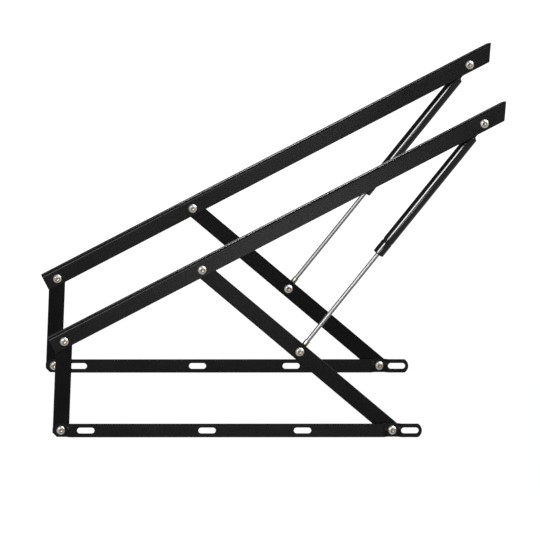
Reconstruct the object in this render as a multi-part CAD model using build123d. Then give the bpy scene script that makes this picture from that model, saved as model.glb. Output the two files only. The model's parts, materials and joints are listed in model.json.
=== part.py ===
from build123d import *
import math
import os

# A pair of bed lift mechanisms, near and far, each on its own side of a bed box.
# Every unit is a four-bar linkage: a base rail on the side panel, two links and a top arm
# that carries the mattress platform. A gas spring between front link and arm holds it up.
# X runs along the rail, Y from the near panel into the bed, Z up. The model is drawn open.
# Millimetres and degrees. Each unit is drawn from its rear base pivot and panel face.

# Linkage
unit_spacing = 900
open_angle = 27.6
pivot_span = 608
rear_link_length = 164
front_link_length = 458
arm_pivot_span = 285
arm_spring_span = 868
link_spring_span = 223

# Sheet metal
sheet = 3
edge_break = 0.5
arm_edge_round = 0.5
bend_radius = 1.5
rail_edge_break = 0.4
rail_height = 25
rail_tail = 15.5
rail_nose = 54
rail_tail_cut = 8
rail_nose_radius = 14.7
crank_depth = 6
crank_flat = 9.5
rail_slots = (45.5, 268, 443, 640)
rail_slot_length = 32
rail_slot_width = 11
link_width = 30
link_end = 12.5
link_corner = 12
front_link_foot = 11
arm_height = 31
arm_flange = 25
arm_bend = 5
arm_edge_to_pivot = 12.5
arm_tail = 24
arm_nose_low = 35
arm_nose_high = 54.5
arm_nose_corner = 4
arm_flange_cut = 9
arm_slots = (70, 310, 550, 790)
arm_slot_length = 25
arm_slot_width = 9
arm_slot_centre = 14.5

# Pivots
running_gap = 0.1
fit_clearance = 0.05
bolt_diameter = 10
head_diameter = 16.5
head_height = 4.5
head_rim = 1.0
shoulder_diameter = 13.5
shoulder_height = 3.2
head_crown = 9
socket_size = 6
socket_depth = 2.8
bush_diameter = 13
bush_flange_diameter = 24
washer_space = 1
nut_size = 16
nut_hex_height = 6
nut_collar_height = 3
nut_collar_diameter = 14
nut_collar_break = 1
tail_proud = 1.5
stud_spacer_diameter = 14

# Gas spring
tube_diameter = 21
tube_wall = 1.25
tube_start = 34
tube_length = 277
tube_lip = 2.5
mouth_diameter = 13
groove_place = 29
groove_depth = 0.8
groove_half = 2.2
rod_diameter = 8
stroke_reserve = 42
plug_length = 9
plug_proud = 2
eye_diameter = 19
eye_thickness = 10
eye_chamfer = 1
neck_diameter = 10
neck_length = 24
stud_diameter = 6
stud_length = 10
stud_proud = 2
guide_length = 12
seal_length = 9
wiper_length = 4
piston_length = 12
piston_slack = 0.3
ring_width = 4
ring_depth = 2
spring_clear_of_link = 2.5

# Points closer than this are one point
touching = 0.01

# Depths from the panel face, front to back
arm_front = crank_depth
arm_back = arm_front + sheet
link_front = arm_back + washer_space
link_back = link_front + sheet
spring_depth = link_back + spring_clear_of_link + tube_diameter / 2
eye_front = spring_depth - eye_thickness / 2
eye_back = spring_depth + eye_thickness / 2


def point_at(start, length, angle):
    """Point at a distance and an angle above level from a start point, in X and Z."""
    turn = math.radians(angle)
    return (start[0] + length * math.cos(turn), start[1] + length * math.sin(turn))


def angle_between(start, end):
    return math.degrees(math.atan2(end[1] - start[1], end[0] - start[0]))


def linkage(arm_angle):
    """Pivot points for an arm angle: the rear arm pivot lies on two circles."""
    rear_base = (0, 0)
    front_base = (pivot_span, 0)
    shifted = point_at(front_base, -arm_pivot_span, arm_angle)
    gap = math.hypot(*shifted)
    along = (rear_link_length**2 - front_link_length**2 + gap**2) / (2 * gap)
    above = math.sqrt(rear_link_length**2 - along**2)
    towards = angle_between(rear_base, shifted)
    foot = point_at(rear_base, along, towards)
    rear_arm = point_at(foot, above, towards + 90)
    front_arm = point_at(rear_arm, arm_pivot_span, arm_angle)
    spring_top = point_at(rear_arm, arm_spring_span, arm_angle)
    front_angle = angle_between(front_base, front_arm)
    spring_foot = point_at(front_base, link_spring_span, front_angle)
    return {
        "rear_base": rear_base,
        "front_base": front_base,
        "rear_arm": rear_arm,
        "front_arm": front_arm,
        "spring_top": spring_top,
        "spring_foot": spring_foot,
        "arm_angle": arm_angle,
        "rear_angle": angle_between(rear_base, rear_arm),
        "front_angle": front_angle,
        "spring_angle": angle_between(spring_foot, spring_top),
        "spring_length": math.dist(spring_foot, spring_top),
    }


def plate(outline, front, back):
    """Solid with an outline seen from the panel side, between two depths."""
    return extrude(Plane.XZ.offset(-back) * outline, amount=back - front)


def drill(place, diameter, front, back):
    """Round cutter or pin across the depth at a point in X and Z."""
    return plate(Pos(*place) * Circle(diameter / 2), front, back)


def at_pivot(place, part):
    """Moves a piece drawn about the Y axis to a pivot."""
    return Pos(place[0], 0, place[1]) * part


def turned(place, angle, part):
    """Moves a piece drawn along X from its pivot to a place and an angle above level."""
    return Location((place[0], 0, place[1]), (0, -angle, 0)) * part


def broken_rim(part, width):
    """Breaks the long edges that lie in the part's front and back faces."""
    front = part.faces().sort_by(Axis.Y)[0]
    back = part.faces().sort_by(Axis.Y)[-1]
    return chamfer(front.outer_wire().edges() + back.outer_wire().edges(), width)


def rail_profile():
    """Top view of the rail: flat on the panel, cranked clear of it at both pivots."""
    lean = sheet * math.tan(math.radians(22.5))
    front = [(-rail_tail, crank_depth)]
    back = [(-rail_tail, crank_depth + sheet)]
    bends = [
        (crank_flat, crank_depth, lean),
        (crank_flat + crank_depth, 0, lean),
        (pivot_span - crank_flat - crank_depth, 0, -lean),
        (pivot_span - crank_flat, crank_depth, -lean),
        (pivot_span + crank_flat, crank_depth, lean),
        (pivot_span + crank_flat + crank_depth, 0, lean),
    ]
    for place, depth, shift in bends:
        front.append((place, depth))
        back.append((place + shift, depth + sheet))
    front.append((pivot_span + rail_nose, 0))
    back.append((pivot_span + rail_nose, sheet))
    profile = make_face(Polyline(*front, *reversed(back), close=True))
    bent = profile.vertices().filter_by(lambda v: -rail_tail < v.X < pivot_span + rail_nose)
    inner = bent.filter_by(lambda v: round(v.Y) in (crank_depth, sheet))
    profile = fillet(inner, bend_radius)
    bent = profile.vertices().filter_by(lambda v: -rail_tail < v.X < pivot_span + rail_nose)
    outer = bent.filter_by(lambda v: any(math.dist((v.X, v.Y), p) < touching for p in front + back))
    return fillet(outer, bend_radius + sheet)


def bar_outline(start, end, width, start_corner, end_corner):
    """Outline of a flat bar. A corner radius of half the width makes that end round."""
    half = width / 2
    first = start + half * (start_corner == half)
    last = end - half * (end_corner == half)
    outline = Pos((first + last) / 2, 0) * Rectangle(last - first, width)
    if start_corner < half:
        outline = fillet(outline.vertices().sort_by(Axis.X)[:2], start_corner)
    if end_corner < half:
        outline = fillet(outline.vertices().sort_by(Axis.X)[-2:], end_corner)
    if start_corner == half:
        outline += Pos(first, 0) * Circle(half)
    if end_corner == half:
        outline += Pos(last, 0) * Circle(half)
    return outline


def rail_outline():
    """Front view of the rail: corners cut off at the tail, a blunt arc at the nose."""
    half = rail_height / 2
    end = pivot_span + rail_nose
    shoulder = end - rail_nose_radius + math.sqrt(rail_nose_radius**2 - half**2)
    cut = rail_tail_cut - rail_tail
    low = half - rail_tail_cut
    upper = [(shoulder, half), (cut, half), (-rail_tail, low)]
    lower = [(x, -z) for x, z in reversed(upper)]
    nose = ThreePointArc((shoulder, -half), (end, 0), (shoulder, half))
    return make_face(Polyline(*upper, *lower) + nose)


def on_rail_rim(edge):
    """True for an edge along the rail's outline, false across its sheet or along a bend."""
    size = edge.bounding_box().size
    at_tail = edge.center().X < rail_edge_break - rail_tail
    return size.X > touching or (at_tail and size.Z > touching)


def base_rail():
    """Slotted bar, bent as its profile, with every long edge broken."""
    strip = extrude(rail_profile(), amount=rail_height / 2, both=True)
    rail = strip & plate(rail_outline(), -1, arm_back + 1)
    rail = chamfer(rail.edges().filter_by(on_rail_rim), rail_edge_break)
    for place in rail_slots:
        slot = Pos(place, 0) * SlotOverall(rail_slot_length, rail_slot_width)
        rail -= plate(slot, -1, sheet + 1)
    for place in (0, pivot_span):
        rail -= drill((place, 0), bolt_diameter, 0, arm_back + 1)
    return rail


def link(length, foot, foot_corner, bores):
    outline = bar_outline(-foot, length + link_end, link_width, foot_corner, link_corner)
    bar = broken_rim(plate(outline, link_front, link_back), edge_break)
    for place, diameter in bores:
        bar -= drill((place, 0), diameter, link_front - 1, link_back + 1)
    return bar


def arm_section():
    """Angle section from the end: upright web in front, flange along the top."""
    low = -arm_edge_to_pivot
    high = low + arm_height
    tip = arm_front + arm_flange
    corners = [
        (arm_front, low),
        (arm_front, high),
        (tip, high),
        (tip, high - sheet),
        (arm_back, high - sheet),
        (arm_back, low),
    ]
    edge = arm_edge_round
    radii = (edge, arm_bend, edge, edge, arm_bend - sheet, edge)
    section = make_face(Polyline(*corners, close=True))
    for corner, radius in zip(corners, radii):
        vertex = section.vertices().sort_by_distance((*corner, 0))[0]
        section = fillet(vertex, radius)
    return section


def top_arm():
    """Angle bar with its pivots low in the web and slots for the platform in the flange.

    The nose is cut on the slant in the web and cut back in the flange.
    """
    low = -arm_edge_to_pivot
    high = low + arm_height
    nose = arm_spring_span + arm_nose_low
    reach = arm_spring_span + arm_nose_high
    bar = extrude(Plane.YZ.offset(-arm_tail) * arm_section(), amount=arm_tail + reach)
    outline = Polyline((-arm_tail, low), (nose, low), (reach, high), (-arm_tail, high), close=True)
    web = make_face(outline)
    web = fillet(web.vertices().sort_by_distance((nose, low, 0))[0], arm_nose_corner)
    tip = arm_front + arm_flange
    cut = reach - arm_flange_cut
    rim = [(-arm_tail, arm_front), (reach, arm_front), (reach, arm_back), (cut, tip), (-arm_tail, tip)]
    top_view = Plane.XY.offset(low) * make_face(Polyline(*rim, close=True))
    arm = bar & plate(web, arm_front, tip) & extrude(top_view, amount=arm_height)
    for place in (0, arm_pivot_span, arm_spring_span):
        arm -= drill((place, 0), bolt_diameter, arm_front - 1, arm_back + 1)
    for place in arm_slots:
        slot = Pos(place, arm_front + arm_slot_centre) * SlotOverall(arm_slot_length, arm_slot_width)
        arm -= extrude(Plane.XY.offset(high - sheet - 1) * slot, amount=sheet + 2)
    return arm


def button_bolt(front, back):
    """Low crowned head with a hexagon socket in front of a plain shank."""
    face = front - head_height
    outline = Polyline(
        (0, back),
        (bolt_diameter / 2, back),
        (bolt_diameter / 2, front),
        (head_diameter / 2, front),
        (head_diameter / 2, front - head_rim),
        (shoulder_diameter / 2, front - shoulder_height),
        (head_crown / 2, face),
        (0, face),
        close=True,
    )
    bolt = revolve(make_face(outline), Axis.Y)
    socket = RegularPolygon(socket_size / 2, 6, major_radius=False)
    return bolt - plate(socket, face - 1, face + socket_depth)


def plain_shank(front, back):
    return drill((0, 0), bolt_diameter, front, back)


def spacer(front, back):
    return plate(Circle(stud_spacer_diameter / 2) - Circle(bolt_diameter / 2), front, back)


def lock_nut(front):
    """Hexagon nut with the round collar that holds its locking ring."""
    back = front + nut_hex_height
    nut = plate(RegularPolygon(nut_size / 2, 6, major_radius=False), front, back)
    collar = plate(Circle(nut_collar_diameter / 2), front, back + nut_collar_height)
    nut += chamfer(collar.edges().sort_by(Axis.Y)[-1], nut_collar_break)
    return nut - drill((0, 0), bolt_diameter, front - 1, back + nut_collar_height + 1)


def flanged_bush():
    """Plastic bush pressed into a link, its flange a washer against the plate in front."""
    flange_front = arm_back + running_gap
    bush = plate(Circle(bush_flange_diameter / 2), flange_front, link_front)
    bush += plate(Circle(bush_diameter / 2), link_front, link_back)
    bore = bolt_diameter + 2 * fit_clearance
    return bush - drill((0, 0), bore, flange_front - 1, link_back + 1)


def revolved_along_x(points):
    """Round piece of the spring from a profile of distance from the upper stud and radius."""
    return Pos(0, spring_depth, 0) * revolve(make_face(Polyline(*points, close=True)), Axis.X)


def spring_tube():
    """Thin tube with a rolled groove behind the seals and both ends rolled in."""
    outer = tube_diameter / 2
    bore = outer - tube_wall
    start = tube_start
    end = tube_start + tube_length
    groove = end - groove_place
    mouth = mouth_diameter / 2
    rolled_top = (groove, outer - groove_depth)
    inside = Polyline(
        (end, outer - tube_lip),
        (end, mouth),
        (end - tube_wall, mouth),
        (end - tube_wall, bore - tube_wall),
        (end - 2 * tube_wall, bore),
        (groove + groove_half, bore),
        (groove, bore - groove_depth),
        (groove - groove_half, bore),
        (start + 2 * tube_wall, bore),
        (start + tube_wall, bore - tube_wall),
        (start + tube_wall, mouth),
        (start, mouth),
        (start, outer - tube_lip),
    )
    outside = [
        RadiusArc((start, outer - tube_lip), (start + tube_lip, outer), tube_lip),
        Line((start + tube_lip, outer), (groove - groove_half, outer)),
        ThreePointArc((groove - groove_half, outer), rolled_top, (groove + groove_half, outer)),
        Line((groove + groove_half, outer), (end - tube_lip, outer)),
        RadiusArc((end - tube_lip, outer), (end, outer - tube_lip), tube_lip),
    ]
    return Pos(0, spring_depth, 0) * revolve(make_face([inside, *outside]), Axis.X)


def ring(start, length, outer, bore):
    """Ring of the spring between two distances from the upper stud."""
    end = start + length
    return revolved_along_x([(start, bore / 2), (start, outer / 2), (end, outer / 2), (end, bore / 2)])


def tube_bore():
    return tube_diameter - 2 * tube_wall


def end_plug():
    """Plug that closes the tube, with the stud that the upper eye screws on to."""
    inner_face = tube_start + tube_wall
    shoulder = tube_start - plug_proud
    outer = tube_bore() / 2
    return revolved_along_x(
        [
            (shoulder - stud_length, 0),
            (shoulder - stud_length, stud_diameter / 2),
            (shoulder, stud_diameter / 2),
            (shoulder, mouth_diameter / 2),
            (inner_face, mouth_diameter / 2),
            (inner_face, outer - tube_wall),
            (inner_face + tube_wall, outer),
            (inner_face + plug_length, outer),
            (inner_face + plug_length, 0),
        ]
    )


def seal_end():
    """Distance from the upper stud to the inner face of the tube's rolled mouth."""
    return tube_start + tube_length - 2 * tube_wall


def wiper():
    bore = rod_diameter + 2 * fit_clearance
    return ring(seal_end() - wiper_length, wiper_length, tube_bore() - 2 * tube_wall, bore)


def rod_guide():
    bore = rod_diameter + 2 * fit_clearance
    return ring(seal_end() - wiper_length - guide_length, guide_length, tube_bore(), bore)


def rod_seal():
    """Seal between the guide and the rolled groove."""
    start = seal_end() - wiper_length - guide_length - seal_length
    bore = rod_diameter + 2 * fit_clearance
    inner = tube_bore() - 2 * groove_depth
    return ring(start, seal_length, inner, bore)


def piston_start():
    """Distance from the upper stud to the piston's inner face, open."""
    return tube_start + tube_length - stroke_reserve - piston_length


def piston_rod(length):
    """Chromed rod, turned down to a stud for the piston and for the lower eye."""
    inner_end = piston_start()
    shoulder = length - neck_length
    radius = rod_diameter / 2
    stud = stud_diameter / 2
    return revolved_along_x(
        [
            (inner_end - stud_proud, 0),
            (inner_end - stud_proud, stud),
            (inner_end + piston_length, stud),
            (inner_end + piston_length, radius),
            (shoulder, radius),
            (shoulder, stud),
            (shoulder + stud_length, stud),
            (shoulder + stud_length, 0),
        ]
    )


def piston():
    """Piston with a groove for its ring."""
    start = piston_start()
    outer = tube_bore() / 2 - piston_slack
    groove = start + (piston_length - ring_width) / 2
    return revolved_along_x(
        [
            (start, stud_diameter / 2),
            (start, outer),
            (groove, outer),
            (groove, outer - ring_depth),
            (groove + ring_width, outer - ring_depth),
            (groove + ring_width, outer),
            (start + piston_length, outer),
            (start + piston_length, stud_diameter / 2),
        ]
    )


def piston_ring():
    start = piston_start() + (piston_length - ring_width) / 2
    bore = tube_bore() - 2 * (piston_slack + ring_depth)
    return ring(start, ring_width, tube_bore() - 2 * fit_clearance, bore)


def eye(reach):
    """Flat-sided eye about the Y axis with a round neck that a stud screws into."""
    body = drill((0, 0), eye_diameter, eye_front, eye_back)
    body = chamfer(body.edges().filter_by(GeomType.CIRCLE), eye_chamfer)
    neck = Pos(0, spring_depth, 0) * extrude(Plane.YZ * Circle(neck_diameter / 2), amount=reach)
    shape = body + neck
    shape -= drill((0, 0), bolt_diameter + 2 * fit_clearance, eye_front - 1, eye_back + 1)
    socket = Plane.YZ.offset(reach - stud_length) * Circle(stud_diameter / 2)
    return shape - Pos(0, spring_depth, 0) * extrude(socket, amount=stud_length)


def unit_parts():
    """Every piece of one unit, in its own node, with the linkage open."""
    pose = linkage(open_angle)
    rear_base = pose["rear_base"]
    front_base = pose["front_base"]
    rear_arm = pose["rear_arm"]
    front_arm = pose["front_arm"]
    spring_top = pose["spring_top"]
    spring_foot = pose["spring_foot"]
    rear_angle = pose["rear_angle"]
    front_angle = pose["front_angle"]
    arm_angle = pose["arm_angle"]
    down_spring = pose["spring_angle"] + 180
    spring_length = pose["spring_length"]
    nut_front = link_back + running_gap
    nut_back = nut_front + nut_hex_height + nut_collar_height
    bolt_end = nut_back + tail_proud
    eye_nut = eye_back + running_gap
    eye_bolt_end = eye_nut + nut_hex_height + nut_collar_height + tail_proud
    lower_split = eye_front - running_gap
    bushed = bush_diameter

    rear_bores = ((0, bushed), (rear_link_length, bushed))
    front_bores = ((0, bushed), (front_link_length, bushed), (link_spring_span, bolt_diameter))
    rear_bar = link(rear_link_length, link_end, link_corner, rear_bores)
    front_bar = link(front_link_length, front_link_foot, link_width / 2, front_bores)
    long_bolt = button_bolt(arm_front, bolt_end)
    upper_bolt = button_bolt(arm_front, eye_bolt_end)
    lower_tail = plain_shank(eye_front, eye_bolt_end)

    def on_spring(piece):
        return turned(spring_top, down_spring, piece)

    return {
        "base_rail": [base_rail()],
        "base_pivot_bolts": [at_pivot(p, long_bolt) for p in (rear_base, front_base)],
        "base_lock_nuts": [at_pivot(p, lock_nut(nut_front)) for p in (rear_base, front_base)],
        "rear_link": [turned(rear_base, rear_angle, rear_bar)],
        "rear_link_bushes": [at_pivot(p, flanged_bush()) for p in (rear_base, rear_arm)],
        "front_link": [turned(front_base, front_angle, front_bar)],
        "front_link_bushes": [at_pivot(p, flanged_bush()) for p in (front_base, front_arm)],
        "front_link_upper_pin": [at_pivot(front_arm, plain_shank(arm_back + running_gap, bolt_end))],
        "front_link_lock_nut": [at_pivot(front_arm, lock_nut(link_back))],
        "spring_lower_bolt": [at_pivot(spring_foot, button_bolt(link_front, lower_split))],
        "spring_lower_spacer": [at_pivot(spring_foot, spacer(link_back, lower_split))],
        "top_arm": [turned(rear_arm, arm_angle, top_arm())],
        "arm_rear_bolt": [at_pivot(rear_arm, long_bolt)],
        "arm_front_bolt": [at_pivot(front_arm, button_bolt(arm_front, arm_back))],
        "spring_upper_bolt": [at_pivot(spring_top, upper_bolt)],
        "spring_upper_spacer": [at_pivot(spring_top, spacer(arm_back, eye_front - running_gap))],
        "arm_lock_nuts": [
            at_pivot(rear_arm, lock_nut(nut_front)),
            at_pivot(spring_top, lock_nut(eye_nut)),
        ],
        "spring_tube": [on_spring(spring_tube())],
        "spring_end_plug": [on_spring(end_plug())],
        "spring_upper_eye": [on_spring(eye(tube_start - plug_proud))],
        "rod_guide": [on_spring(rod_guide())],
        "rod_seal": [on_spring(rod_seal())],
        "rod_wiper": [on_spring(wiper())],
        "piston_rod": [on_spring(piston_rod(spring_length))],
        "piston": [on_spring(piston())],
        "piston_ring": [on_spring(piston_ring())],
        "spring_lower_eye": [turned(spring_foot, pose["spring_angle"], eye(neck_length))],
        "spring_lower_pin": [at_pivot(spring_foot, lower_tail)],
        "spring_lower_nut": [at_pivot(spring_foot, lock_nut(eye_back))],
    }


def slot_centre():
    """Middle of the two outer rail slots, the model's origin along X."""
    return (rail_slots[0] + rail_slots[-1]) / 2


def main():
    os.makedirs("parts", exist_ok=True)
    pieces = unit_parts()
    for side, depth in (("near", 0), ("far", unit_spacing)):
        place = Pos(-slot_centre(), depth, 0)
        for name, solids in pieces.items():
            placed = [place * solid for solid in solids]
            node = placed[0] if len(placed) == 1 else Compound(children=placed)
            export_step(node, f"parts/{side}_{name}.step")


main()
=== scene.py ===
import json
import math

import bmesh
import bpy
from mathutils import Matrix, Vector


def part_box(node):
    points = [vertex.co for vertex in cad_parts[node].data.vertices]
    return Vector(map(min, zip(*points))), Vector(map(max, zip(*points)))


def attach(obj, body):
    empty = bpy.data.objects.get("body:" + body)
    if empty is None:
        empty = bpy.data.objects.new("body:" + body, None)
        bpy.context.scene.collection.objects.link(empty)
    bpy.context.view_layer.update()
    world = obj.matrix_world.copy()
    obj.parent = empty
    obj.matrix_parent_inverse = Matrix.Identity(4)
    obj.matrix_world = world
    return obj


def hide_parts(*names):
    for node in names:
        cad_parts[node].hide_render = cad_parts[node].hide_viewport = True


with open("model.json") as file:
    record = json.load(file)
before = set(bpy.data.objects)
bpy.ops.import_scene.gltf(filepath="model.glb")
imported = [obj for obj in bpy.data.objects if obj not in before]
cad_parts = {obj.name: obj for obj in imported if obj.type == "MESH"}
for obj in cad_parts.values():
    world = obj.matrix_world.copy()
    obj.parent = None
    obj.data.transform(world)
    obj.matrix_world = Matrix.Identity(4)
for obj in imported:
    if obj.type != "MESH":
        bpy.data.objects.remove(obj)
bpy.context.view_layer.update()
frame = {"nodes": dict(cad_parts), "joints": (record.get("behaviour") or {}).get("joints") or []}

# A pair of bed lift mechanisms standing open on a pale studio floor.
# Metres. X runs along the rails, Y from the near unit to the far one, Z up.

MM = 0.001

# Photograph
photo_size = 540
metres_per_pixel = 1.8335 * MM
lens_length = 1700
sensor_width = 36
view_down = math.radians(7.34)
view_right = math.radians(1.3)
view_roll = math.radians(0.145)
rear_pivot_in_photo = (60.95, 430.55)

# Depths from the side panel's face, shared with the solids
arm_front = 6 * MM
arm_back = 9 * MM
link_front = 10 * MM
link_back = 13 * MM
eye_front = 21 * MM
eye_back = 31 * MM
running_gap = 0.1 * MM

# Fasteners
bolt_radius = 5 * MM
head_radius = 8.25 * MM
head_height = 4.5 * MM
nut_flat_half = 8 * MM
nut_hex_height = 6 * MM
nut_collar_height = 3 * MM
nut_collar_radius = 7 * MM
nut_height = nut_hex_height + nut_collar_height
tail_proud = 1.5 * MM

# Gas spring, its places measured from the upper pivot
tube_radius = 10.5 * MM
tube_wall = 1.25 * MM
tube_start = 34 * MM
tube_end = 311 * MM
tube_lip = 2.5 * MM
mouth_radius = 6.5 * MM
groove_place = 282 * MM
groove_depth = 0.8 * MM
groove_half = 2.2 * MM
rod_radius = 4 * MM
stud_radius = 3 * MM
stud_length = 10 * MM
rod_inner_end = 255 * MM
piston_back = 269 * MM
neck_length = 24 * MM

# Places of the pivots of one unit, read from the joints and from the pins


def joint_place(name):
    for joint in frame["joints"]:
        if joint["name"] == name:
            return Vector(joint["pos_m"])
    raise KeyError(name)


def node_middle(name):
    low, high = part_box(name)
    return (low + high) / 2


def unit_places(side):
    """Pivot places of one unit, and the Y of its side panel's face."""
    return {
        "rear_base": joint_place(f"{side}_rear_swing"),
        "front_base": joint_place(f"{side}_lift"),
        "rear_arm": joint_place(f"{side}_arm_tilt"),
        "spring_top": joint_place(f"{side}_spring_swing"),
        "front_arm": node_middle(f"{side}_front_link_upper_pin"),
        "spring_foot": node_middle(f"{side}_spring_lower_bolt"),
        "panel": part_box(f"{side}_base_rail")[0].y,
    }


# Meshes

smooth_angle = math.radians(32)
same_point = 0.001 * MM


def lathe(profile, axis, steps=72, closed=False):
    """Turned mesh from points of place along the axis and radius."""
    mesh = bmesh.new()
    along = Vector(axis)
    across = Vector((0, 0, 1))
    points = [mesh.verts.new(along * place + across * radius) for place, radius in profile]
    pairs = list(zip(points, points[1:]))
    if closed:
        pairs.append((points[-1], points[0]))
    lines = [mesh.edges.new(pair) for pair in pairs]
    bmesh.ops.spin(
        mesh,
        geom=points + lines,
        cent=(0, 0, 0),
        axis=along,
        dvec=(0, 0, 0),
        angle=2 * math.pi,
        steps=steps,
        use_merge=True,
        use_duplicate=False,
    )
    bmesh.ops.remove_doubles(mesh, verts=mesh.verts, dist=same_point)
    bmesh.ops.recalc_face_normals(mesh, faces=mesh.faces)
    return mesh


def hexagon_corner(flat_half):
    """Radius of the corners of a hexagon of that half width across its flats."""
    return flat_half / math.cos(math.radians(30))


def cut_hexagon(mesh, flat_half, reach):
    """Draws points about the Y axis, out to a reach, in to a hexagon of that half width."""
    sixth = math.pi / 3
    for point in mesh.verts:
        radius = math.hypot(point.co.x, point.co.z)
        if same_point < radius <= reach:
            turn = math.atan2(point.co.x, point.co.z) % sixth - sixth / 2
            limit = flat_half / math.cos(turn)
            if radius > limit:
                point.co.x *= limit / radius
                point.co.z *= limit / radius


def finish_piece(name, mesh, body, nodes, finishes, place):
    """Puts a mesh in its place and hands the piece to its body, nodes and material slot."""
    bmesh.ops.transform(mesh, matrix=place, verts=mesh.verts)
    data = bpy.data.meshes.new(name)
    mesh.to_mesh(data)
    mesh.free()
    data.shade_smooth()
    data.set_sharp_from_angle(angle=smooth_angle)
    for finish in finishes:
        data.materials.append(finish)
    piece = bpy.data.objects.new(name, data)
    bpy.context.scene.collection.objects.link(piece)
    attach(piece, body)
    if nodes:
        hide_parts(*nodes)


def arc_points(centre, radius, start, end, count):
    """Points of place and radius on an arc between two angles in degrees."""
    points = []
    for step in range(count + 1):
        turn = math.radians(start + (end - start) * step / count)
        points.append((centre[0] + radius * math.cos(turn), centre[1] + radius * math.sin(turn)))
    return points


# Shader maths


class Value:
    """A node's output that takes part in Python expressions."""

    def __init__(self, finish, socket):
        self.finish = finish
        self.socket = socket

    def _math(self, operation, first, second):
        return self.finish.node("ShaderNodeMath", {"operation": operation}, {0: first, 1: second})

    def __add__(self, other):
        return self._math("ADD", self, other)

    def __radd__(self, other):
        return self._math("ADD", other, self)

    def __sub__(self, other):
        return self._math("SUBTRACT", self, other)

    def __rsub__(self, other):
        return self._math("SUBTRACT", other, self)

    def __mul__(self, other):
        return self._math("MULTIPLY", self, other)

    def __rmul__(self, other):
        return self._math("MULTIPLY", other, self)


class Finish:
    """A material or world under construction."""

    def __init__(self, owner):
        self.owner = owner
        owner.use_nodes = True
        self.tree = owner.node_tree
        self.tree.nodes.clear()

    def node(self, kind, settings=None, inputs=None, output=0):
        """Adds a node: settings first, then values or links of its sockets."""
        made = self.tree.nodes.new(kind)
        for key, value in (settings or {}).items():
            setattr(made, key, value)
        for key, value in (inputs or {}).items():
            if isinstance(value, Value):
                self.tree.links.new(value.socket, made.inputs[key])
            else:
                made.inputs[key].default_value = value
        return Value(self, made.outputs[output])

    def place(self):
        return self.node("ShaderNodeTexCoord", output="Object")

    def noise(self, place, scale, detail=2.0, roughness=0.5):
        sizes = {"Vector": place, "Scale": scale, "Detail": detail, "Roughness": roughness}
        return self.node("ShaderNodeTexNoise", inputs=sizes)

    def stretched(self, place, scale):
        return self.node("ShaderNodeMapping", inputs={"Vector": place, "Scale": scale})

    def level(self, value, low, high, to_low=0.0, to_high=1.0):
        """Value mapped from one range to another and held at its ends."""
        ends = {"Value": value, "From Min": low, "From Max": high, "To Min": to_low, "To Max": to_high}
        return self.node("ShaderNodeMapRange", {"clamp": True}, ends)

    def colours(self, factor, first, second):
        sockets = {0: factor, 6: (*first, 1), 7: (*second, 1)}
        return self.node("ShaderNodeMix", {"data_type": "RGBA"}, sockets, output=2)

    def bump(self, height, strength, distance):
        sockets = {"Height": height, "Strength": strength, "Distance": distance}
        return self.node("ShaderNodeBump", inputs=sockets)


def end_tree(finish, kind, shader):
    last = finish.tree.nodes.new(kind)
    finish.tree.links.new(shader.socket, last.inputs["Surface"])


def new_finish(name):
    return Finish(bpy.data.materials.new(name))


def shade(finish, **sockets):
    """Ends a material in one Principled shader."""
    named = {key.replace("_", " "): value for key, value in sockets.items()}
    end_tree(finish, "ShaderNodeOutputMaterial", finish.node("ShaderNodeBsdfPrincipled", inputs=named))
    return finish.owner


# Finishes, their noise scales in repeats per metre


def black_powder_coat(name, depth):
    """Satin black coat on the flat steel, with a fine peel and faint clouding. Its depth scales colour
    and specular together, so a copy at lower depth carries painted shade.
    """
    f = new_finish(name)
    place = f.place()
    peel = f.noise(place, scale=520, detail=3)
    grit = f.noise(place, scale=2200, detail=1)
    cloud = f.noise(place, scale=14, detail=4, roughness=0.6)
    dark = [depth * part for part in (0.0034, 0.0034, 0.0033)]
    light = [depth * part for part in (0.0062, 0.0061, 0.0060)]
    colour = f.colours(f.level(cloud, low=0.35, high=0.65), dark, light)
    return shade(
        f,
        Base_Color=colour,
        Roughness=0.22 + 0.08 * cloud + 0.015 * grit,
        Normal=f.bump(peel + 0.3 * grit, strength=0.008, distance=0.25 * MM),
        Specular_IOR_Level=0.17 * depth,
    )


def black_lacquer():
    """Gloss black paint of the spring's tube, with a faint peel."""
    f = new_finish("black lacquer")
    place = f.place()
    cloud = f.noise(place, scale=45, detail=3)
    peel = f.noise(place, scale=260)
    colour = f.colours(cloud, (0.003, 0.003, 0.003), (0.006, 0.0056, 0.0054))
    return shade(
        f,
        Base_Color=colour,
        Roughness=0.10 + 0.06 * cloud,
        Normal=f.bump(peel, strength=0.006, distance=0.2 * MM),
        Specular_IOR_Level=0.05,
        Coat_Weight=1.0,
        Coat_IOR=1.36,
        Coat_Roughness=0.06,
    )


def plated_steel(name, tint, tarnish, base_roughness):
    """Plated fastener steel: fine turning marks and a little clouding."""
    f = new_finish(name)
    place = f.place()
    cloud = f.noise(place, scale=160, detail=3)
    grain = f.noise(f.stretched(place, (900, 6000, 900)), scale=1)
    colour = f.colours(f.level(cloud, low=0.4, high=0.7), tint, tarnish)
    return shade(
        f,
        Base_Color=colour,
        Metallic=1.0,
        Roughness=base_roughness + 0.14 * cloud,
        Normal=f.bump(grain, strength=0.12, distance=0.06 * MM),
    )


def chromed_steel():
    """Ground and chromed rod."""
    f = new_finish("chromed rod")
    place = f.place()
    cloud = f.noise(place, scale=60)
    grind = f.noise(f.stretched(place, (2600, 2600, 2600)), scale=1, detail=1)
    colour = f.colours(cloud, (0.215, 0.215, 0.22), (0.25, 0.25, 0.25))
    return shade(
        f,
        Base_Color=colour,
        Metallic=1.0,
        Roughness=0.44 + 0.06 * cloud,
        Normal=f.bump(grind, strength=0.03, distance=0.03 * MM),
    )


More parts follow.
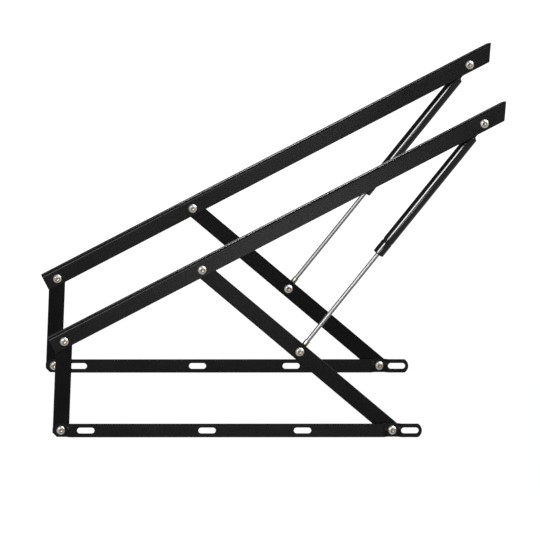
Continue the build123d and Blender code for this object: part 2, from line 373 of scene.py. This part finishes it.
def moulded_plastic(name, dark, light, base_roughness):
    """Plain plastic or rubber with a fine grain."""
    f = new_finish(name)
    place = f.place()
    cloud = f.noise(place, scale=120, detail=3)
    grain = f.noise(place, scale=1800)
    colour = f.colours(cloud, dark, light)
    return shade(
        f,
        Base_Color=colour,
        Roughness=base_roughness + 0.12 * cloud,
        Normal=f.bump(grain, strength=0.15, distance=0.1 * MM),
    )


coat = black_powder_coat("black powder coat", 0.74)
# The links' copy of the coat, its colour and specular scaled down together: painted shade on the
# links.
shaded_link_coat = black_powder_coat("black powder coat with painted shade", 0.46)
lacquer = black_lacquer()
bright_plate = plated_steel("bright plated steel", (0.74, 0.73, 0.71), (0.60, 0.58, 0.55), 0.32)
# Darker steel for the flat face and inner dome of the bolt heads: painted shade, a dim reflection
# painted in.
face_shade_plate = plated_steel("face steel with painted shade", (0.30, 0.29, 0.27), (0.22, 0.21, 0.19), 0.30)
# Dark brownish steel for the hex sockets: painted shade in the recess with a brownish painted
# reflection.
socket_shade_plate = plated_steel("socket steel with painted shade", (0.26, 0.22, 0.14), (0.16, 0.12, 0.09), 0.30)
dull_plate = plated_steel("dull plated steel", (0.56, 0.54, 0.50), (0.42, 0.39, 0.34), 0.30)
dark_plate = plated_steel("darkened steel", (0.035, 0.033, 0.031), (0.022, 0.021, 0.020), 0.34)
warm_plate = plated_steel("warm plated steel", (0.30, 0.285, 0.26), (0.20, 0.185, 0.165), 0.34)
chrome = chromed_steel()
black_nylon = moulded_plastic("black nylon", (0.016, 0.016, 0.017), (0.026, 0.026, 0.027), 0.42)
pale_nylon = moulded_plastic("pale nylon", (0.52, 0.54, 0.55), (0.62, 0.63, 0.63), 0.38)
rubber = moulded_plastic("seal rubber", (0.010, 0.010, 0.010), (0.018, 0.018, 0.018), 0.62)

node_finish = {
    "base_rail": coat,
    "rear_link": shaded_link_coat,
    "front_link": shaded_link_coat,
    "top_arm": coat,
    "rear_link_bushes": black_nylon,
    "front_link_bushes": black_nylon,
    "rod_guide": black_nylon,
    "rod_seal": rubber,
    "rod_wiper": rubber,
    "piston_ring": rubber,
    "spring_upper_eye": dark_plate,
    "spring_lower_eye": warm_plate,
    "spring_end_plug": dark_plate,
    "spring_upper_spacer": dull_plate,
    "spring_lower_spacer": dull_plate,
    "spring_lower_pin": dull_plate,
    "spring_lower_nut": dull_plate,
    "front_link_upper_pin": dull_plate,
    "front_link_lock_nut": dull_plate,
    "base_lock_nuts": dull_plate,
    "arm_lock_nuts": dull_plate,
    "base_pivot_bolts": bright_plate,
    "arm_rear_bolt": bright_plate,
    "arm_front_bolt": bright_plate,
    "spring_upper_bolt": bright_plate,
    "spring_lower_bolt": bright_plate,
    "piston": dull_plate,
    "piston_rod": chrome,
    "spring_tube": lacquer,
}

for name, node in frame["nodes"].items():
    node.data.materials.clear()
    node.data.materials.append(node_finish[name.split("_", 1)[1]])


# Pieces

head_finishes = [bright_plate, socket_shade_plate, face_shade_plate]
socket_finish = 1
face_finish = 2
nut_front = link_back + running_gap
bolt_end = nut_front + nut_height + tail_proud
eye_nut_front = eye_back + running_gap
eye_bolt_end = eye_nut_front + nut_height + tail_proud
lower_bolt_end = eye_front - running_gap


def shank_tail(end):
    """Profile of a bolt's free end: a thread's last ridges and a broken edge."""
    pitch = 0.75 * MM
    thread_depth = 0.35 * MM
    profile = []
    for turns_left in (4, 3, 2):
        profile.append((end - turns_left * pitch, bolt_radius))
        profile.append((end - (turns_left - 0.5) * pitch, bolt_radius - thread_depth))
    profile.append((end - pitch, bolt_radius - 0.1 * MM))
    profile.append((end, bolt_radius - 0.8 * MM))
    profile.append((end, 0))
    return profile


def button_head_mesh(length, threaded):
    """Domed head with a hexagon socket, its underside at depth 0, on a shank. Its socket and flat face
    take darker steels, painted shade.
    """
    face = -head_height
    flat_radius = 4.6 * MM
    face_shade_radius = 5.2 * MM
    socket_half = 3 * MM
    socket_corner = hexagon_corner(socket_half)
    socket_floor = face + 2.8 * MM
    drill_point = socket_floor + 0.9 * MM
    edge_depth = 0.25 * MM
    edge_width = 0.35 * MM
    profile = [(drill_point, 0), (socket_floor, socket_corner), (face + edge_depth, socket_corner)]
    profile += [(face, socket_corner + edge_width), (face, flat_radius)]
    profile += arc_points((1.93 * MM, 2.12 * MM), 6.88 * MM, 158, 118, 8)
    profile += [(-0.9 * MM, head_radius), (-0.3 * MM, head_radius)]
    profile += [(0, head_radius - edge_depth), (0, bolt_radius)]
    profile += shank_tail(length) if threaded else [(length, bolt_radius), (length, 0)]
    mesh = lathe(profile, (0, 1, 0))
    cut_hexagon(mesh, socket_half, socket_corner + 0.4 * MM)
    for facet in mesh.faces:
        spot = facet.calc_center_median()
        radius = math.hypot(spot.x, spot.z)
        # The socket's faces take the dark brownish steel: painted shade in the recess.
        if spot.y < 0 and radius < 0.97 * socket_corner:
            facet.material_index = socket_finish
        # The flat face and inner dome take the darker face steel: painted shade.
        elif spot.y < 0 and radius < face_shade_radius:
            facet.material_index = face_finish
    return mesh


def lock_nut_mesh():
    """Hexagon nut from depth 0 with its turned corners, collar and bore."""
    turned = 1.2 * MM
    collar_round = 1.2 * MM
    bore_edge = 0.7 * MM
    corner = hexagon_corner(nut_flat_half)
    washer_face = nut_flat_half - 0.2 * MM
    steps = 4
    profile = [(0, bolt_radius)]
    for step in range(steps + 1):
        share = step / steps
        profile.append((turned * share, washer_face + (corner - washer_face) * share))
    for step in range(steps + 1):
        share = step / steps
        radius = corner - (corner - nut_flat_half) * share
        profile.append((nut_hex_height - turned * (1 - share), radius))
    profile += [(nut_hex_height, nut_collar_radius)]
    collar_centre = (nut_height - collar_round, nut_collar_radius - collar_round)
    profile += arc_points(collar_centre, collar_round, 90, 0, 5)
    profile += [(nut_height, bolt_radius + bore_edge), (nut_height - bore_edge, bolt_radius)]
    mesh = lathe(profile, (0, 1, 0), closed=True)
    cut_hexagon(mesh, nut_flat_half, corner + 0.1 * MM)
    return mesh


def lock_ring_mesh():
    """Nylon ring that shows inside the nut's collar."""
    top = nut_height - 0.35 * MM
    profile = [
        (top - 1.2 * MM, bolt_radius + 0.02 * MM),
        (top, bolt_radius + 0.05 * MM),
        (top, bolt_radius + 0.62 * MM),
        (top - 0.5 * MM, bolt_radius + 0.2 * MM),
    ]
    return lathe(profile, (0, 1, 0), closed=True)


def groove_points():
    """Rolled groove round the tube, a smooth dip from its outside and back."""
    points = []
    steps = 12
    for step in range(steps + 1):
        swing = math.pi * (step / steps * 2 - 1)
        dip = groove_depth * (1 + math.cos(swing)) / 2
        points.append((groove_place + groove_half * swing / math.pi, tube_radius - dip))
    return points


def tube_mesh():
    """Spring tube along X from the upper pivot, its lips and groove rolled round."""
    bore = tube_radius - tube_wall
    ledge = bore - 1.2 * MM
    mouth_round = 0.6 * MM
    inner_lip = tube_end - 1.4 * MM
    lip_centre = tube_radius - tube_lip
    profile = [(tube_start, mouth_radius)]
    profile += arc_points((tube_start + tube_lip, lip_centre), tube_lip, 180, 90, 8)
    profile += groove_points()
    profile += arc_points((tube_end - tube_lip, lip_centre), tube_lip, 90, 0, 8)
    profile += arc_points((tube_end - mouth_round, mouth_radius + mouth_round), mouth_round, 0, -90, 4)
    profile += [(inner_lip, mouth_radius), (inner_lip, ledge)]
    profile += [(tube_end - 2 * tube_wall, bore), (tube_start + 2 * tube_wall, bore)]
    profile += [(tube_start + tube_wall, ledge), (tube_start + tube_wall, mouth_radius)]
    return lathe(profile, (1, 0, 0), steps=96, closed=True)


def rod_mesh(length):
    """Chromed rod with its studs for the piston and the lower eye."""
    shoulder = length - neck_length
    edge = 0.4 * MM
    profile = [
        (rod_inner_end, 0),
        (rod_inner_end, stud_radius),
        (piston_back, stud_radius),
        (piston_back, rod_radius),
        (shoulder - edge, rod_radius),
        (shoulder, rod_radius - edge),
        (shoulder, stud_radius),
        (shoulder + stud_length, stud_radius),
        (shoulder + stud_length, 0),
    ]
    return lathe(profile, (1, 0, 0), steps=64)


def at_depth(at, pivot, depth):
    """Place on a pivot's axis at a depth from the unit's side panel."""
    return Matrix.Translation((at[pivot].x, at["panel"] + depth, at[pivot].z))


def add_bolts(side, at):
    """Bolts of one unit: pivot, body, node, front, end, and whether the end is free."""
    bolts = [
        ("rear_base", "base", "base_pivot_bolts", arm_front, bolt_end, True),
        ("front_base", "base", "base_pivot_bolts", arm_front, bolt_end, True),
        ("rear_arm", f"{side}_arm", "arm_rear_bolt", arm_front, bolt_end, True),
        ("front_arm", f"{side}_arm", "arm_front_bolt", arm_front, arm_back, False),
        ("spring_top", f"{side}_arm", "spring_upper_bolt", arm_front, eye_bolt_end, True),
        ("spring_foot", f"{side}_front_link", "spring_lower_bolt", link_front, lower_bolt_end, False),
    ]
    for pivot, body, node, front, end, threaded in bolts:
        mesh = button_head_mesh(end - front, threaded)
        place = at_depth(at, pivot, front)
        name = f"{side}_{pivot}_bolt"
        finish_piece(name, mesh, body, [f"{side}_{node}"], head_finishes, place)


def add_nuts(side, at):
    """Lock nuts of one unit, each with its nylon ring: pivot, body, node and front."""
    nuts = [
        ("rear_base", "base", "base_lock_nuts", nut_front),
        ("front_base", "base", "base_lock_nuts", nut_front),
        ("rear_arm", f"{side}_arm", "arm_lock_nuts", nut_front),
        ("spring_top", f"{side}_arm", "arm_lock_nuts", eye_nut_front),
        ("front_arm", f"{side}_front_link", "front_link_lock_nut", link_back),
        ("spring_foot", f"{side}_rod", "spring_lower_nut", eye_back),
    ]
    for pivot, body, node, front in nuts:
        place = at_depth(at, pivot, front)
        name = f"{side}_{pivot}_nut"
        finish_piece(name, lock_nut_mesh(), body, [f"{side}_{node}"], [dull_plate], place)
        name = f"{side}_{pivot}_lock_ring"
        finish_piece(name, lock_ring_mesh(), body, [], [pale_nylon], place)


def add_pins(side, at):
    """Headless pins of one unit's two open pivots: pivot, body, node, front and end."""
    pins = [
        ("front_arm", f"{side}_front_link", "front_link_upper_pin", arm_back + running_gap, bolt_end),
        ("spring_foot", f"{side}_rod", "spring_lower_pin", eye_front, eye_bolt_end),
    ]
    for pivot, body, node, front, end in pins:
        mesh = lathe([(0, 0), (0, bolt_radius)] + shank_tail(end - front), (0, 1, 0))
        place = at_depth(at, pivot, front)
        name = f"{side}_{pivot}_pin"
        finish_piece(name, mesh, body, [f"{side}_{node}"], [dull_plate], place)


def add_spring(side, at):
    """Tube and rod of one unit's gas spring, from the upper pivot down to the lower one."""
    top = at["spring_top"]
    foot = Vector((at["spring_foot"].x, top.y, at["spring_foot"].z))
    run = foot - top
    tilt = math.atan2(run.z, run.x)
    along = Matrix.Translation(top) @ Matrix.Rotation(-tilt, 4, "Y")
    tube = f"{side}_tube"
    finish_piece(tube, tube_mesh(), tube, [f"{side}_spring_tube"], [lacquer], along)
    rod = f"{side}_rod"
    finish_piece(rod, rod_mesh(run.length), rod, [f"{side}_piston_rod"], [chrome], along)


for side in ("near", "far"):
    at = unit_places(side)
    add_bolts(side, at)
    add_nuts(side, at)
    add_pins(side, at)
    add_spring(side, at)


# Camera

view_forward = Vector(
    (
        math.sin(view_right) * math.cos(view_down),
        math.cos(view_right) * math.cos(view_down),
        -math.sin(view_down),
    )
)
level_side = Vector((math.cos(view_right), -math.sin(view_right), 0))
level_up = level_side.cross(view_forward)
view_side = level_side * math.cos(view_roll) + level_up * math.sin(view_roll)
view_up = view_side.cross(view_forward)


def photo_middle():
    """Point of the near unit's front plane that lies in the middle of the photograph."""
    anchor = joint_place("near_rear_swing")
    anchor.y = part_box("near_base_rail")[0].y + arm_front - head_height
    across = (photo_size / 2 - rear_pivot_in_photo[0]) * metres_per_pixel
    upwards = (rear_pivot_in_photo[1] - photo_size / 2) * metres_per_pixel
    return anchor + view_side * across + view_up * upwards


def set_camera():
    """Long lens whose picture is the photograph's size in the front plane."""
    data = bpy.data.cameras.new("photo camera")
    data.lens = lens_length
    data.sensor_width = sensor_width
    data.clip_start = 1
    data.clip_end = 400
    distance = photo_size * metres_per_pixel * lens_length / sensor_width
    turn = Matrix((view_side, view_up, -view_forward)).transposed().to_4x4()
    camera = bpy.data.objects.new("photo camera", data)
    camera.matrix_world = Matrix.Translation(middle - view_forward * distance) @ turn
    bpy.context.scene.collection.objects.link(camera)
    bpy.context.scene.camera = camera


middle = photo_middle()
set_camera()


# Studio

floor_half = 150
floor_paint = (0.08, 0.08, 0.08, 1)
white = (1, 1, 1, 1)
floor_shown = 0.4
room_shown = 0.05
stripe_from_middle = 0.23
bend_tilt = math.radians(76)
arm_share = 0.58
sheen_across = 0.055
sheen_up = 0.09


def rays(finish, kind):
    """1 for rays of one kind, such as those straight from the camera, and 0 for all others."""
    return finish.node("ShaderNodeLightPath", output=kind)


def set_floor():
    """Floor that is white to the camera, part white in mirrors and a dark paint to all else."""
    mesh = bmesh.new()
    bmesh.ops.create_grid(mesh, x_segments=1, y_segments=1, size=floor_half)
    data = bpy.data.meshes.new("floor")
    mesh.to_mesh(data)
    mesh.free()
    floor = bpy.data.objects.new("floor", data)
    floor.location = (0, 0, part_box("near_base_rail")[0].z)
    bpy.context.scene.collection.objects.link(floor)
    f = new_finish("pale floor")
    paint = f.node("ShaderNodeBsdfDiffuse", inputs={"Color": floor_paint})
    glow = f.node("ShaderNodeEmission", inputs={"Color": white, "Strength": 1.2})
    distance = f.node("ShaderNodeVectorMath", {"operation": "LENGTH"}, {0: f.place()}, output="Value")
    mirrored_white = floor_shown * rays(f, "Is Glossy Ray")
    outwards = f.level(distance, low=0.8, high=3.5, to_low=0.82, to_high=1.0)
    whiteness = rays(f, "Is Camera Ray") * outwards + mirrored_white
    mixed = f.node("ShaderNodeMixShader", inputs={0: whiteness, 1: paint, 2: glow})
    end_tree(f, "ShaderNodeOutputMaterial", mixed)
    data.materials.append(f.owner)


def set_world():
    """White to the camera, dim grey to the object and darker still behind it."""
    world = bpy.data.worlds.new("studio")
    bpy.context.scene.world = world
    f = Finish(world)
    direction = f.node("ShaderNodeTexCoord", output="Generated")
    depth = f.node("ShaderNodeSeparateXYZ", inputs={0: direction}, output="Y")
    room = f.level(depth, low=-0.2, high=0.8, to_low=0.15, to_high=0.05)
    seen = rays(f, "Is Camera Ray")
    strength = seen + (1 - seen) * room + room_shown * rays(f, "Is Glossy Ray")
    light = f.node("ShaderNodeBackground", inputs={"Color": white, "Strength": strength})
    end_tree(f, "ShaderNodeOutputWorld", light)


def mirrored(normal):
    """Direction in which a facet with that normal mirrors the camera's view."""
    return view_forward - 2 * view_forward.dot(normal) * normal


def softbox(name, target, towards, distance, long_side, width, length, radiance):
    """Rectangular light that faces a target from a direction, its length along a given line."""
    data = bpy.data.lights.new(name, "AREA")
    data.shape = "RECTANGLE"
    data.size = width
    data.size_y = length
    data.energy = radiance * math.pi * width * length
    away = towards.normalized()
    along = (long_side - away * long_side.dot(away)).normalized()
    turn = Matrix((along.cross(away), along, away)).transposed().to_4x4()
    lamp = bpy.data.objects.new(name, data)
    lamp.matrix_world = Matrix.Translation(target + away * distance) @ turn
    lamp.visible_camera = False
    bpy.context.scene.collection.objects.link(lamp)


def level_line(start, end):
    """Unit vector from one place to another, as seen square on to the rails."""
    line = end - start
    line.y = 0
    return line.normalized()


def stripe_light():
    """Light that shows as the narrow stripe down the spring's tube."""
    places = unit_places("near")
    axis = level_line(places["spring_top"], places["spring_foot"])
    facing = (-view_forward + axis * view_forward.dot(axis)).normalized()
    leftwards = axis.cross(facing)
    if leftwards.x > 0:
        leftwards.negate()
    turn = math.asin(stripe_from_middle)
    normal = facing * math.cos(turn) + leftwards * math.sin(turn)
    target = places["spring_top"] + axis * tube_end
    softbox("stripe light", target, mirrored(normal), 5, axis, width=2, length=1.3, radiance=32)


def arm_middle(side):
    places = unit_places(side)
    return places["rear_arm"].lerp(places["spring_top"], arm_share)


def arm_lights():
    """A small high light for the bend of each arm and a low one behind for the flange's top."""
    target = (arm_middle("near") + arm_middle("far")) / 2
    places = unit_places("near")
    arm = level_line(places["rear_arm"], places["spring_top"])
    above = Vector((-arm.z, 0, arm.x))
    normal = above * math.sin(bend_tilt) - view_forward * math.cos(bend_tilt)
    softbox("bend light", target, mirrored(normal), 2.2, arm, width=0.42, length=0.42, radiance=25)
    softbox("flange light", target, mirrored(above), 2, arm, width=0.3, length=0.5, radiance=0.45)


def ring_light():
    """Broad light up to the right, beyond what the tubes and bends mirror, for the bolt heads."""
    towards = Vector((0.62, -0.1, 0.78))
    softbox("ring light", middle, towards, 3, Vector((0, 1, 0)), width=3, length=3, radiance=5)


def sheen_light():
    """Small light before the object, for the soft sheen across the middle of the arms."""
    target = middle + view_side * sheen_across + view_up * sheen_up
    towards = mirrored(Vector((0, -1, 0)))
    softbox("sheen light", target, towards, 2.2, view_side, width=0.15, length=0.4, radiance=16)


set_floor()
set_world()
stripe_light()
arm_lights()
ring_light()
sheen_light()

bpy.context.scene.view_settings.view_transform = "Standard"
